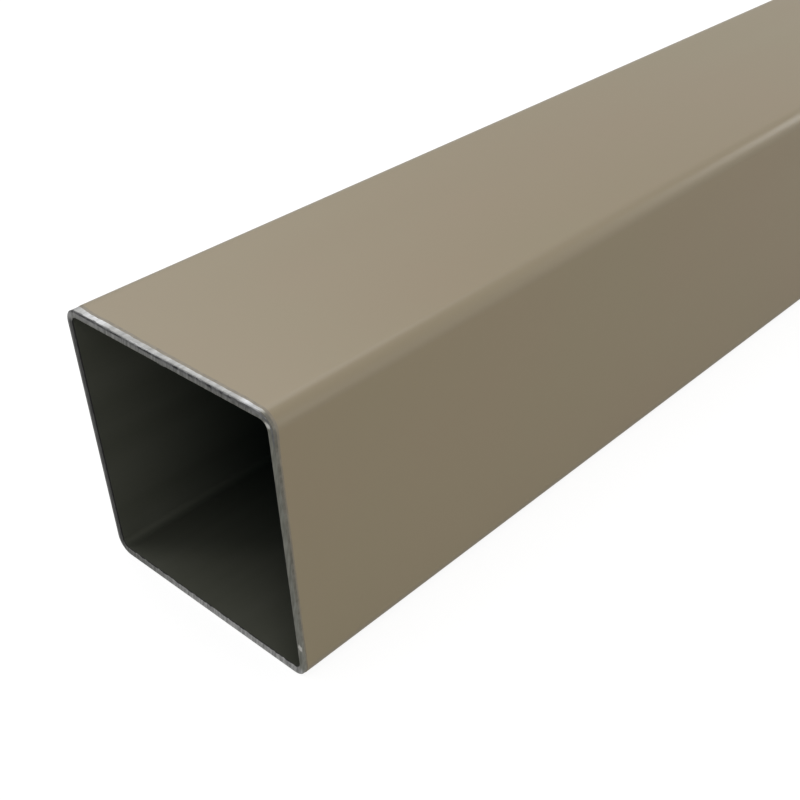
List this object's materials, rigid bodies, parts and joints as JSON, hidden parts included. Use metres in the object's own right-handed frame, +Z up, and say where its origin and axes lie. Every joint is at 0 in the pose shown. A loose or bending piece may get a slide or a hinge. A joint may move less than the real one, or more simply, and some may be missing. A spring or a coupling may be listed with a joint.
{
  "type": "square metal tube",
  "caption": "Straight length of thin-walled square steel tube with rounded corners, painted outside, open and square-sawn at both ends.",
  "frame": {"origin": "middle of the lower wall's underside, half way along the tube", "axes": "+X along the tube, +Z up from the lower wall to the upper wall, whose inside carries the weld bead, +Y across"},
  "size_m": [1, 0.05, 0.05],
  "materials": {
    "painted_steel": "satin"
  },
  "bodies": {
    "root": {"square_tube": "painted_steel"}
  },
  "joints": []
}
